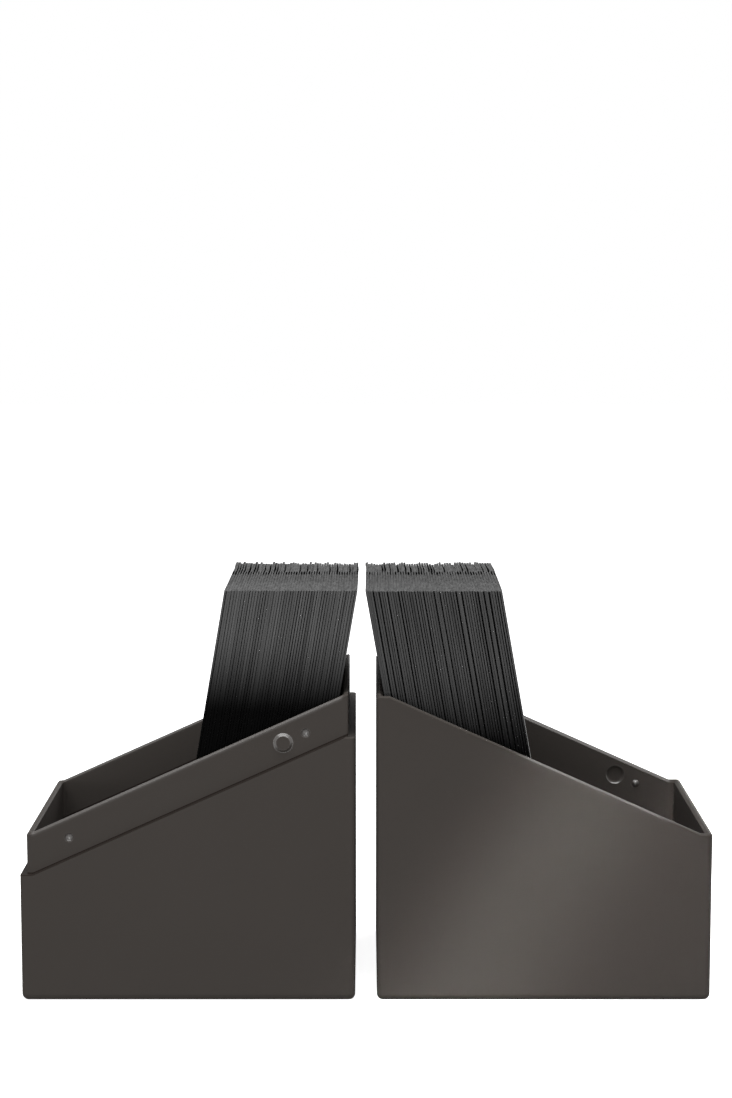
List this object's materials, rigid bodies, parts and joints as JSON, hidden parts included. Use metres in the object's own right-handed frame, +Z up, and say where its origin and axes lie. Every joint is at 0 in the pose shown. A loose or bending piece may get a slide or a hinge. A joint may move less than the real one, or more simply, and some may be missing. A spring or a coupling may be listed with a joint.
{
  "type": "card box",
  "caption": "Moulded box for sleeved playing cards that parts on a slant, shown open: collared base and matching lid stand side by side, each with a deck leaning in it.",
  "frame": {"origin": "on the table, at the centre of the footprint of the two halves together, midway across the gap between them", "axes": "+Z up, +X from the base half to the lid half, -Y towards the front"},
  "size_m": [0.1546, 0.0754, 0.0919],
  "materials": {
    "shell": "satin, finely grained, moulded in dark warm grey",
    "sleeve": "soft gloss film, near black"
  },
  "bodies": {
    "base": {"base_shell": "shell"},
    "lid": {"lid_shell": "shell"},
    "deck_a": {"deck_a_packet_01": "sleeve", "deck_a_packet_02": "sleeve", "deck_a_packet_03": "sleeve", "deck_a_packet_04": "sleeve", "deck_a_packet_05": "sleeve", "deck_a_packet_06": "sleeve", "deck_a_packet_07": "sleeve", "deck_a_packet_08": "sleeve", "deck_a_packet_09": "sleeve", "deck_a_packet_10": "sleeve"},
    "deck_b": {"deck_b_packet_01": "sleeve", "deck_b_packet_02": "sleeve", "deck_b_packet_03": "sleeve", "deck_b_packet_04": "sleeve", "deck_b_packet_05": "sleeve", "deck_b_packet_06": "sleeve", "deck_b_packet_07": "sleeve", "deck_b_packet_08": "sleeve", "deck_b_packet_09": "sleeve", "deck_b_packet_10": "sleeve"}
  },
  "joints": [
    {"name": "lid_lift", "type": "slide", "parent": "base", "child": "lid", "axis": [0, 0, 1], "range_m": [0, 0.12]},
    {"name": "deck_a_lift", "type": "slide", "parent": "base", "child": "deck_a", "axis": [0, 0, 1], "range_m": [0, 0.1]},
    {"name": "deck_b_lift", "type": "slide", "parent": "lid", "child": "deck_b", "axis": [0, 0, 1], "range_m": [0, 0.1]}
  ]
}
